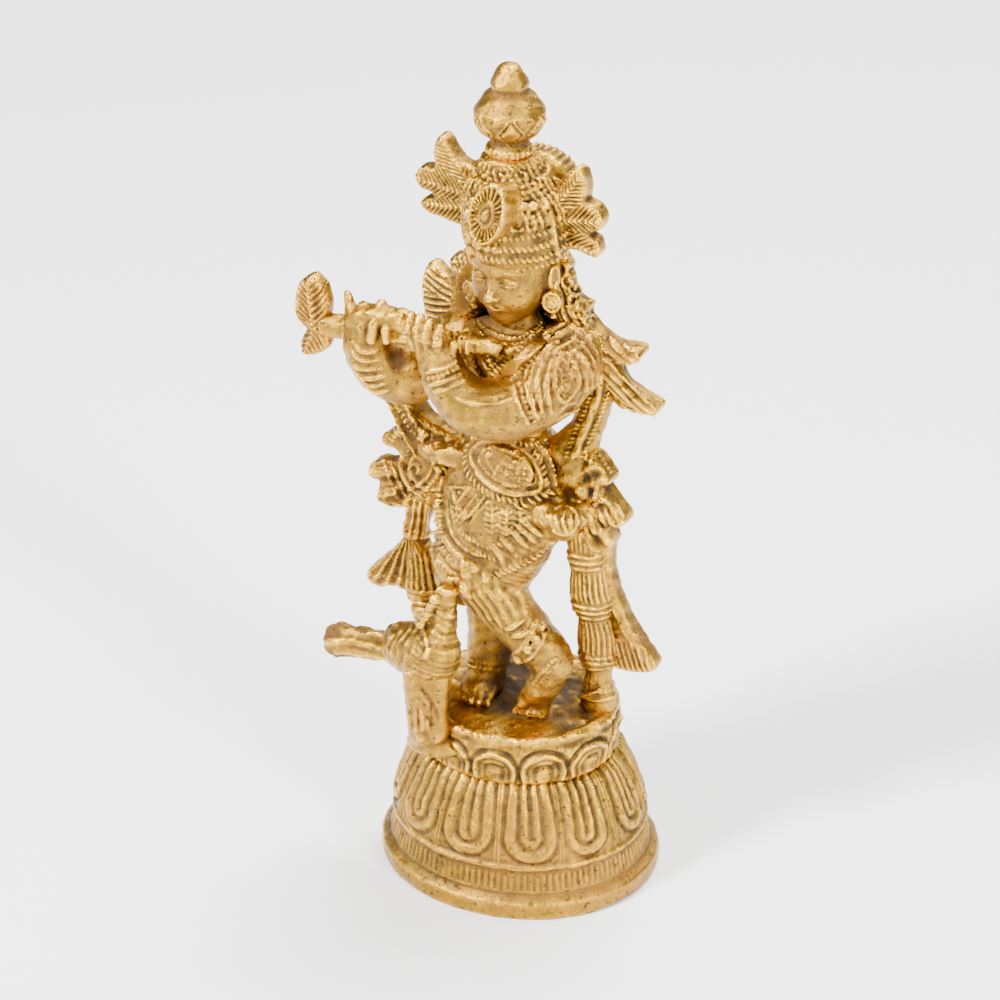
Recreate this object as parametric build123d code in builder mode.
"""Standing flute player with a peacock, a cast brass statuette on an oval double-lotus pedestal.

Row frame: millimetres, +Z up, +Y towards the statue's back, the figure faces -Y.
The origin is the centre of the oval foot rim, in the plane that the statue stands on.
Left and right are the figure's own, so its left side is at +X.
"""

import os
from math import cos, pi, sin

from build123d import *

os.makedirs("parts", exist_ok=True)

# ---------------------------------------------------------------- driving dimensions
BASE_A = 25.5  # half width of the oval foot rim, along X
BASE_B = 23.2  # half depth of the oval foot rim, along Y
RIM_H = 3.3  # height of the plain foot rim
NECK_Z = 23.6  # top of the lower lotus
PLINTH_TOP = 32.0  # standing surface
WALL = 2.6  # wall of the hollow pedestal casting
SPIGOT_R = 6.0  # plinth spigot brazed into the pedestal
SPIGOT_LEN = 2.4
PEG_R = 1.1  # foot pegs brazed into the plinth
PEG_LEN = 2.5
FLUTE_R = 1.8
FIT = 0.02  # radial clearance of the brazed pegs and spigots


# ---------------------------------------------------------------- helpers
def ovals(rows):
    """Stations of a body with level oval sections: rows of (centre x, centre y, z, half width, half depth)."""
    return [(Plane((cx, cy, z)), a, b) for cx, cy, z, a, b in rows]


def limb(rows, cap_start=True, cap_end=True):
    """Stations square to a limb's centre line, with a smaller one beyond each rounded end: rows of (x, y, z, radius)."""
    pts = [Vector(x, y, z) for x, y, z, _ in rows]
    rad = [r for _, _, _, r in rows]
    dirs = []
    for i in range(len(pts)):
        a = pts[max(i - 1, 0)]
        b = pts[min(i + 1, len(pts) - 1)]
        dirs.append((b - a).normalized())
    stations = list(zip(pts, dirs, rad))
    if cap_start:
        stations.insert(0, (pts[0] - dirs[0] * rad[0] * 0.72, dirs[0], rad[0] * 0.60))
    if cap_end:
        stations.append((pts[-1] + dirs[-1] * rad[-1] * 0.72, dirs[-1], rad[-1] * 0.60))
    # the sections share one turning reference, so that the skin doesn't twist
    side = stations[0][1].cross(Vector(0, 1, 0))
    if side.length < 0.3:
        side = stations[0][1].cross(Vector(1, 0, 0))
    planes = []
    for p, d, r in stations:
        side = (side - d * side.dot(d)).normalized()
        planes.append((Plane(origin=p, x_dir=side, z_dir=d), r))
    return planes


def upright(y_back):
    """An upright plane whose sketch x and y are the statue's X and Z, extruded towards the front."""
    return Plane(origin=(0, y_back, 0), x_dir=(1, 0, 0), z_dir=(0, -1, 0))


def trim(*others):
    """Cuts the neighbours' solids out of the piece being built, so that they meet face to face."""
    for other in others:
        add(other.part, mode=Mode.SUBTRACT)


def largest(builder):
    """The main solid, without the loose crumbs that a trim can leave."""
    return builder.part.solids().sort_by(SortBy.VOLUME)[-1]


def write(piece, name):
    piece.label = name
    export_step(piece, f"parts/{name}.step")


# ---------------------------------------------------------------- pedestal: foot rim and hanging lotus
with BuildPart() as lotus_pedestal:
    for plane, a, b in ovals(
        [
            (0, 0, 0.0, BASE_A - 0.5, BASE_B - 0.5),
            (0, 0, 0.5, BASE_A, BASE_B),
            (0, 0, RIM_H - 0.5, BASE_A, BASE_B),
            (0, 0, RIM_H, BASE_A - 0.5, BASE_B - 0.5),
            (0, 0, 4.4, BASE_A * 0.93, BASE_B * 0.93),
            (0, 0, 8.0, BASE_A * 0.89, BASE_B * 0.89),
            (0, 0, 10.0, BASE_A * 0.87, BASE_B * 0.87),
            (0, 0, 14.0, BASE_A * 0.86, BASE_B * 0.86),
            (0, 0, 17.5, BASE_A * 0.83, BASE_B * 0.83),
            (0, 0, 21.0, BASE_A * 0.77, BASE_B * 0.77),
            (0, 0, NECK_Z, BASE_A * 0.69, BASE_B * 0.69),
        ]
    ):
        with BuildSketch(plane):
            Ellipse(a, b)
    loft(ruled=True)
    for plane, a, b in ovals(
        [
            (0, 0, -1.0, BASE_A * 0.93 - WALL, BASE_B * 0.93 - WALL),
            (0, 0, 8.0, BASE_A * 0.89 - WALL, BASE_B * 0.89 - WALL),
            (0, 0, 14.0, BASE_A * 0.86 - WALL, BASE_B * 0.86 - WALL),
            (0, 0, 18.0, BASE_A * 0.78 - WALL, BASE_B * 0.78 - WALL),
            (0, 0, NECK_Z - WALL, BASE_A * 0.62 - WALL, BASE_B * 0.62 - WALL),
        ]
    ):
        with BuildSketch(plane):
            Ellipse(a, b)
    loft(ruled=True, mode=Mode.SUBTRACT)
    with Locations((0, 0, NECK_Z)):
        Hole(SPIGOT_R + FIT, depth=WALL + 2)
write(lotus_pedestal.part, "lotus_pedestal")

# ---------------------------------------------------------------- plinth: upturned lotus with foot sockets
LEFT_PEG = (-6.2, -3.4)
RIGHT_PEG = (4.4, -5.3)
with BuildPart() as lotus_plinth:
    for plane, a, b in ovals(
        [
            (0, 0, NECK_Z, BASE_A * 0.62, BASE_B * 0.62),
            (0, 0, 25.5, BASE_A * 0.69, BASE_B * 0.69),
            (0, 0, 28.5, BASE_A * 0.72, BASE_B * 0.72),
            (0, 0, 30.8, BASE_A * 0.71, BASE_B * 0.71),
            (0, 0, PLINTH_TOP, BASE_A * 0.69, BASE_B * 0.69),
        ]
    ):
        with BuildSketch(plane):
            Ellipse(a, b)
    loft(ruled=True)
    with BuildSketch(Plane.XY.offset(NECK_Z)):
        Circle(SPIGOT_R)
    extrude(amount=-SPIGOT_LEN)
    for px, py in (LEFT_PEG, RIGHT_PEG):
        with Locations((px, py, PLINTH_TOP)):
            Hole(PEG_R + FIT, depth=PEG_LEN + 0.3)
write(lotus_plinth.part, "lotus_plinth")

# ---------------------------------------------------------------- legs, each with its foot and peg
with BuildPart() as left_leg:
    for plane, r in limb(
        [
            (-4.6, 0.4, 55.0, 5.0),
            (-5.9, 1.0, 46.2, 4.4),
            (-6.3, 0.4, 40.2, 3.7),
            (-6.3, -0.9, 36.4, 3.3),
            (-6.2, -3.0, 34.2, 2.0),
        ],
        cap_end=True,
    ):
        with BuildSketch(plane):
            Circle(r)
    loft()
    with BuildSketch(Plane.XY.offset(PLINTH_TOP)):
        with Locations((-6.2, -2.6)):
            Ellipse(3.2, 4.4)
    with BuildSketch(Plane.XY.offset(PLINTH_TOP + 1.6)):
        with Locations((-6.2, -1.9)):
            Ellipse(2.8, 3.4)
    loft()
    split(bisect_by=Plane.XY.offset(PLINTH_TOP), keep=Keep.TOP)
    with BuildSketch(Plane.XY.offset(PLINTH_TOP)):
        with Locations(LEFT_PEG):
            Circle(PEG_R)
    extrude(amount=-PEG_LEN)
write(left_leg.part, "left_leg")

with BuildPart() as right_leg:
    for plane, r in limb(
        [
            (-4.6, -6.2, 59.6, 5.3),
            (-2.6, -6.8, 57.4, 5.1),
            (0.6, -6.9, 54.3, 4.5),
            (4.7, -6.6, 49.8, 3.9),
            (8.7, -5.7, 45.6, 3.4),
            (9.2, -5.5, 43.2, 2.9),
            (8.1, -5.5, 40.4, 2.5),
            (6.3, -5.4, 37.2, 2.2),
            (4.7, -5.3, 34.4, 1.9),
        ]
    ):
        with BuildSketch(plane):
            Circle(r)
    loft()
    split(bisect_by=Plane.XY.offset(PLINTH_TOP), keep=Keep.TOP)
    with BuildSketch(Plane.XY.offset(PLINTH_TOP + 1.2)):
        with Locations(RIGHT_PEG):
            Circle(PEG_R)
    extrude(amount=-(PEG_LEN + 1.2))
    trim(left_leg)
write(largest(right_leg), "right_leg")

# ---------------------------------------------------------------- dhoti, torso and head
with BuildPart() as dhoti:
    for plane, a, b in ovals(
        [
            (-3.3, -3.6, 53.6, 5.3, 4.4),
            (-4.3, -3.3, 56.0, 7.3, 6.7),
            (-4.5, -2.8, 59.5, 8.9, 8.1),
            (-3.6, -2.4, 64.0, 10.5, 8.8),
            (-1.8, -2.2, 70.0, 12.2, 8.9),
            (-1.2, -2.0, 77.0, 10.9, 7.9),
            (-0.9, -2.0, 83.0, 8.7, 6.5),
            (-0.8, -2.0, 86.0, 7.5, 5.7),
        ]
    ):
        with BuildSketch(plane):
            Ellipse(a, b)
    loft()
    trim(left_leg, right_leg)
write(largest(dhoti), "dhoti")

with BuildPart() as torso:
    for plane, a, b in ovals(
        [
            (-0.8, -2.0, 86.0, 6.6, 4.9),
            (-0.5, -2.0, 90.0, 7.2, 5.2),
            (-0.2, -2.0, 95.0, 8.8, 5.9),
            (0.0, -1.8, 100.0, 10.2, 6.2),
            (0.1, -1.8, 103.6, 9.2, 5.4),
            (0.3, -2.2, 105.6, 5.6, 4.4),
            (0.5, -2.8, 108.0, 3.75, 3.7),
            (0.7, -3.2, 110.5, 3.45, 3.4),
        ]
    ):
        with BuildSketch(plane):
            Ellipse(a, b)
    loft(ruled=True)
write(torso.part, "torso")

with BuildPart() as head:
    for plane, a, b in ovals(
        [
            (0.7, -6.4, 108.9, 2.0, 2.2),
            (0.8, -5.2, 110.6, 4.4, 4.6),
            (0.9, -4.2, 113.4, 6.1, 6.6),
            (1.0, -3.8, 117.0, 7.1, 7.7),
            (1.0, -3.4, 120.4, 7.2, 7.8),
            (0.9, -3.1, 123.4, 6.9, 7.5),
        ]
    ):
        with BuildSketch(plane):
            Ellipse(a, b)
    loft()
    trim(torso)
write(largest(head), "head")

# ---------------------------------------------------------------- crown with its plumes, crest, halo disc and finial
with BuildPart() as crown:
    for plane, a, b in ovals(
        [
            (0.9, -3.1, 121.0, 8.4, 8.6),
            (0.7, -3.0, 124.0, 9.2, 9.4),
            (0.2, -2.6, 128.0, 9.0, 9.1),
            (-0.5, -2.2, 132.0, 7.0, 7.1),
            (-1.0, -2.0, 134.6, 4.8, 4.85),
            (-1.2, -2.0, 136.0, 4.0, 4.05),
        ]
    ):
        with BuildSketch(plane):
            Ellipse(a, b)
    loft()
    with Locations((-1.2, -2.0, 136.0)):
        Hole(1.5 + FIT, depth=3.2)
    trim(head)
write(largest(crown), "crown")

with BuildPart() as crown_finial:
    with BuildSketch(Plane(origin=(-1.2, -2.0, 0), x_dir=(1, 0, 0), z_dir=(0, -1, 0))):
        with BuildLine():
            Polyline(
                (0, 133.0),
                (1.5, 133.0),
                (1.5, 136.0),
                (3.4, 136.0),
                (4.0, 136.6),
                (4.0, 137.6),
                (3.2, 138.3),
                (3.4, 139.2),
                (6.2, 143.4),
                (6.2, 144.6),
                (5.2, 146.2),
                (3.2, 147.2),
                (3.5, 147.9),
                (3.4, 148.6),
                (2.0, 151.2),
                (1.1, 152.0),
                (0, 152.0),
                close=True,
            )
        make_face()
    revolve(axis=Axis((-1.2, -2.0, 0), (0, 0, 1)))
write(crown_finial.part, "crown_finial")

with BuildPart() as crown_halo:
    with BuildSketch(Plane.XZ.offset(-7.2)):
        with Locations((0.2, 126.4)):
            Circle(8.5)
    extrude(amount=4.2)
    trim(crown, head)
write(largest(crown_halo), "crown_halo")

with BuildPart() as crest_jewel:
    with BuildSketch(Plane(origin=(0.2, -11.7, 129.2), x_dir=(1, -0.05, 0), z_dir=(-0.05, -0.98, 0.18))):
        Ellipse(3.7, 5.0)
    extrude(amount=1.3)
    with BuildSketch(Plane(origin=(0.2, -11.7, 129.2), x_dir=(1, -0.05, 0), z_dir=(-0.05, -0.98, 0.18))):
        Ellipse(3.2, 4.2)
    extrude(amount=-4.4)
    trim(crown)
write(largest(crest_jewel), "crest_jewel")

with BuildPart() as right_crown_plume:
    with BuildSketch(upright(0.5)):
        with BuildLine():
            Polyline(
                (-5.5, 131.0), (-7.6, 132.4), (-10.6, 134.2), (-12.4, 136.6), (-14.3, 136.5), (-15.5, 133.6),
                (-14.8, 130.6), (-17.6, 130.3), (-19.4, 128.1), (-17.9, 125.9), (-15.6, 125.5), (-17.9, 124.1),
                (-17.7, 121.9), (-14.8, 121.4), (-10.7, 121.2), (-6.5, 121.2),
                close=True,
            )
        make_face()
    extrude(amount=3.0)
    trim(crown, head, crown_halo)
write(largest(right_crown_plume), "right_crown_plume")

with BuildPart() as left_crown_plume:
    with BuildSketch(upright(0.5)):
        with BuildLine():
            Polyline(
                (6.2, 127.4), (8.7, 131.3), (10.3, 133.8), (11.9, 136.0), (13.4, 134.0), (13.8, 129.9),
                (16.0, 129.6), (16.6, 127.3), (15.0, 125.2), (14.0, 124.8), (15.7, 123.0), (15.4, 120.8),
                (13.6, 120.9), (10.4, 121.3), (6.4, 121.4),
                close=True,
            )
        make_face()
    extrude(amount=3.0)
    trim(crown, head, crown_halo)
write(largest(left_crown_plume), "left_crown_plume")

with BuildPart() as left_earring:
    for plane, a, b in ovals(
        [
            (8.0, -4.0, 110.2, 0.9, 0.8),
            (8.0, -4.0, 111.8, 1.8, 1.7),
            (8.0, -4.0, 113.2, 1.8, 1.7),
            (8.0, -4.0, 114.8, 0.9, 0.8),
        ]
    ):
        with BuildSketch(plane):
            Ellipse(a, b)
    loft()
    trim(head, torso)
write(largest(left_earring), "left_earring")

with BuildPart() as right_earring:
    for plane, a, b in ovals(
        [
            (-6.2, -5.0, 109.4, 0.9, 0.8),
            (-6.2, -5.0, 111.0, 1.8, 1.7),
            (-6.2, -5.0, 112.4, 1.8, 1.7),
            (-6.2, -5.0, 114.0, 0.9, 0.8),
        ]
    ):
        with BuildSketch(plane):
            Ellipse(a, b)
    loft()
    trim(head, torso)
write(largest(right_earring), "right_earring")

# ---------------------------------------------------------------- hair and shawl mantle behind the shoulders
with BuildPart() as hair_mantle:
    with BuildSketch(upright(5.3)):
        with BuildLine():
            Polyline(
                (6.0, 120.0), (8.0, 114.8), (11.1, 113.7), (10.8, 111.4), (12.7, 108.1), (16.9, 103.9),
                (20.4, 103.6), (19.9, 101.6), (16.6, 98.6), (20.4, 95.0), (23.4, 93.9), (23.2, 92.0),
                (20.5, 91.1), (15.2, 92.7), (12.9, 91.8), (9.0, 91.0), (0.0, 90.0), (-8.0, 91.0),
                (-14.0, 93.1), (-18.6, 95.6), (-20.6, 99.9), (-19.9, 104.8), (-19.8, 108.9), (-18.3, 110.0),
                (-16.7, 109.2), (-12.3, 109.8), (-14.4, 111.2), (-14.2, 112.8), (-12.4, 113.9), (-9.4, 113.5),
                (-6.0, 120.0),
                close=True,
            )
        make_face()
    extrude(amount=3.8)
    trim(torso, head, crown, crown_halo)
write(largest(hair_mantle), "hair_mantle")

# ---------------------------------------------------------------- flute, passing through both hands
FL_A = Vector(-30.5, -14.0, 103.8)
FL_B = Vector(2.6, -12.5, 106.4)
with BuildPart() as flute:
    with BuildSketch(Plane(origin=FL_A, z_dir=FL_B - FL_A)):
        Circle(FLUTE_R)
    extrude(amount=(FL_B - FL_A).length)
write(flute.part, "flute")

with BuildPart() as flute_leaf:
    with BuildSketch(upright(-12.6)):
        with BuildLine():
            Polyline(
                (-30.3, 102.6), (-28.9, 105.8), (-28.6, 108.7), (-29.7, 111.6), (-31.6, 113.0), (-33.6, 111.7),
                (-35.1, 108.2), (-35.2, 105.0), (-33.8, 103.4), (-32.7, 102.9), (-34.3, 100.0), (-34.2, 98.1),
                (-32.2, 97.8), (-29.5, 99.2), (-28.2, 101.3), (-28.6, 102.4),
                close=True,
            )
        make_face()
    extrude(amount=2.8)
    trim(flute)
write(largest(flute_leaf), "flute_leaf")

# ---------------------------------------------------------------- arms
with BuildPart() as left_arm:
    for plane, r in limb(
        [
            (9.4, 0.0, 102.6, 4.4),
            (9.0, -3.0, 99.9, 5.6),
            (7.2, -7.6, 96.9, 5.2),
        ],
        cap_end=False,
    ):
        with BuildSketch(plane):
            Circle(r)
    loft()
    trim(torso, hair_mantle)
write(largest(left_arm), "left_arm")

with BuildPart() as left_forearm:
    for plane, r in limb(
        [
            (6.9, -8.3, 96.6, 4.9),
            (5.0, -11.2, 95.2, 4.8),
            (1.6, -13.3, 94.9, 4.7),
            (-2.4, -15.0, 96.3, 4.3),
            (-5.4, -15.5, 99.2, 3.7),
            (-6.9, -15.4, 101.9, 3.3),
            (-8.2, -15.2, 104.6, 3.2),
        ],
        cap_start=False,
    ):
        with BuildSketch(plane):
            Circle(r)
    loft()
    trim(left_arm, flute, torso)
write(largest(left_forearm), "left_forearm")

with BuildPart() as right_arm:
    for plane, r in limb(
        [
            (-9.0, 0.4, 100.6, 4.2),
            (-12.0, -0.8, 98.8, 4.6),
            (-15.2, -4.0, 96.6, 4.8),
        ],
        cap_end=False,
    ):
        with BuildSketch(plane):
            Circle(r)
    loft()
    trim(torso, hair_mantle)
write(largest(right_arm), "right_arm")

with BuildPart() as right_forearm:
    for plane, r in limb(
        [
            (-15.9, -4.8, 96.2, 4.9),
            (-18.4, -8.0, 95.8, 5.4),
            (-21.0, -11.0, 97.4, 4.5),
            (-22.2, -13.0, 100.4, 3.6),
            (-22.8, -13.9, 103.5, 3.2),
        ],
        cap_start=False,
    ):
        with BuildSketch(plane):
            Circle(r)
    loft()
    trim(right_arm, flute)
write(largest(right_forearm), "right_forearm")

# ---------------------------------------------------------------- waist knot, shawl falls and sashes
with BuildPart() as waist_knot:
    for plane, r in limb([(8.6, -6.4, 73.6, 2.6), (11.6, -6.2, 72.8, 2.9)]):
        with BuildSketch(plane):
            Circle(r)
    loft()
    trim(dhoti)
write(largest(waist_knot), "waist_knot")

with BuildPart() as left_shawl:
    for plane, r in limb(
        [
            (11.6, 3.0, 101.2, 2.3),
            (13.2, 2.8, 97.6, 2.5),
            (13.3, 2.0, 93.0, 2.5),
            (12.2, 0.9, 87.8, 2.6),
            (11.0, -0.6, 83.0, 2.9),
        ]
    ):
        with BuildSketch(plane):
            Circle(r)
    loft()
    trim(hair_mantle, left_arm, torso, dhoti)
write(largest(left_shawl), "left_shawl")

with BuildPart() as left_hip_fan:
    with BuildSketch(upright(1.9)):
        with BuildLine():
            Polyline(
                (8.0, 79.8), (13.7, 84.7), (15.5, 85.8), (17.8, 83.5), (19.2, 82.3), (19.0, 79.6),
                (17.2, 79.5), (19.8, 76.7), (21.7, 75.3), (21.0, 72.4), (18.0, 71.2), (17.7, 67.5),
                (15.8, 66.4), (12.9, 68.2), (9.0, 70.4),
                close=True,
            )
        make_face()
    extrude(amount=5.0)
    trim(dhoti, left_shawl, waist_knot)
write(largest(left_hip_fan), "left_hip_fan")

with BuildPart() as left_sash_tassel:
    for plane, a, b in ovals(
        [
            (14.4, 1.9, PLINTH_TOP, 2.6, 2.4),
            (14.4, 2.0, 34.0, 3.3, 2.8),
            (14.7, 1.7, 38.5, 2.6, 2.3),
            (14.7, 1.5, 41.0, 2.9, 2.4),
            (14.5, 1.0, 46.7, 3.6, 2.6),
            (14.1, 0.0, 55.0, 3.3, 2.5),
            (13.6, -0.6, 62.0, 2.8, 2.3),
            (12.9, -0.9, 67.0, 2.7, 2.2),
        ]
    ):
        with BuildSketch(plane):
            Ellipse(a, b)
    loft()
    trim(left_hip_fan, dhoti)
write(largest(left_sash_tassel), "left_sash_tassel")

with BuildPart() as left_sash_flare:
    with BuildSketch(upright(6.2)):
        with BuildLine():
            Polyline(
                (12.6, 66.2), (15.8, 64.6), (18.0, 54.3), (22.0, 47.4), (24.7, 44.5), (24.0, 42.4),
                (21.6, 42.0), (17.1, 42.4), (14.2, 42.6), (13.0, 53.4),
                close=True,
            )
        make_face()
    extrude(amount=5.2)
    trim(left_sash_tassel, left_hip_fan, dhoti)
write(largest(left_sash_flare), "left_sash_flare")

with BuildPart() as right_shawl:
    with BuildSketch(upright(0.6)):
        with BuildLine():
            Polyline(
                (-13.0, 73.0), (-16.3, 69.6), (-17.6, 66.8), (-21.2, 65.8), (-25.2, 65.4), (-26.4, 66.7),
                (-25.7, 69.2), (-27.7, 70.7), (-27.7, 72.7), (-25.1, 74.1), (-22.2, 75.0), (-22.2, 76.8),
                (-24.6, 77.4), (-25.2, 78.8), (-23.0, 80.5), (-21.8, 81.6), (-24.1, 85.7), (-25.0, 88.0),
                (-22.0, 91.4), (-18.4, 90.6), (-15.6, 84.6), (-13.0, 81.0), (-8.0, 80.0), (-8.0, 74.0),
                close=True,
            )
        make_face()
    extrude(amount=4.4)
    trim(dhoti, right_forearm, right_arm)
write(largest(right_shawl), "right_shawl")

with BuildPart() as right_sash_bell:
    for plane, a, b in ovals(
        [
            (-18.2, -0.6, 40.6, 1.5, 1.4),
            (-18.2, -0.6, 44.0, 3.0, 2.6),
            (-18.6, -0.6, 46.6, 3.4, 2.8),
            (-21.4, -0.8, 49.0, 7.2, 3.4),
            (-21.8, -0.8, 51.0, 6.6, 3.2),
            (-20.6, -0.8, 56.0, 3.6, 2.6),
            (-20.2, -0.8, 60.0, 2.8, 2.2),
            (-19.6, -0.8, 64.0, 2.4, 2.0),
            (-19.4, -0.8, 66.4, 2.2, 1.8),
        ]
    ):
        with BuildSketch(plane):
            Ellipse(a, b)
    loft()
    trim(right_shawl)
write(largest(right_sash_bell), "right_sash_bell")

with BuildPart() as right_sash_web:
    for plane, r in limb([(-8.6, 0.4, 57.2, 2.4), (-12.4, 0.6, 52.4, 2.4), (-16.6, 0.2, 47.6, 2.2)]):
        with BuildSketch(plane):
            Circle(r)
    loft()
    trim(dhoti, right_sash_bell, left_leg, right_leg)
write(largest(right_sash_web), "right_sash_web")

# ---------------------------------------------------------------- peacock on its perch
with BuildPart() as peacock_perch:
    for plane, a, b in ovals(
        [
            (-9.4, -15.2, PLINTH_TOP - 4.4, 3.6, 3.0),
            (-9.5, -16.0, 29.6, 3.9, 3.4),
            (-9.7, -16.3, 33.0, 3.7, 3.3),
            (-10.1, -16.0, 37.2, 3.8, 3.4),
            (-10.3, -15.4, 40.6, 4.2, 3.6),
            (-10.2, -15.0, 43.0, 4.2, 3.6),
        ]
    ):
        with BuildSketch(plane):
            Ellipse(a, b)
    loft()
    trim(lotus_plinth)
write(largest(peacock_perch), "peacock_perch")

with BuildPart() as peacock:
    for plane, r in limb(
        [
            (-17.2, -12.4, 43.8, 3.3),
            (-14.6, -13.4, 44.6, 4.2),
            (-11.4, -14.2, 45.4, 4.7),
            (-8.9, -14.8, 46.2, 4.4),
            (-7.6, -14.7, 49.4, 3.0),
            (-7.2, -14.0, 53.2, 2.0),
            (-7.3, -13.2, 57.0, 1.7),
        ]
    ):
        with BuildSketch(plane):
            Circle(r)
    loft()
    trim(peacock_perch)
write(largest(peacock), "peacock")

with BuildPart() as peacock_tail:
    for plane, r in limb([(-17.0, -12.3, 43.6, 2.8), (-24.4, -12.1, 42.4, 2.9), (-31.4, -12.0, 41.0, 2.9)]):
        with BuildSketch(plane):
            Circle(r)
    loft()
    trim(peacock)
write(largest(peacock_tail), "peacock_tail")
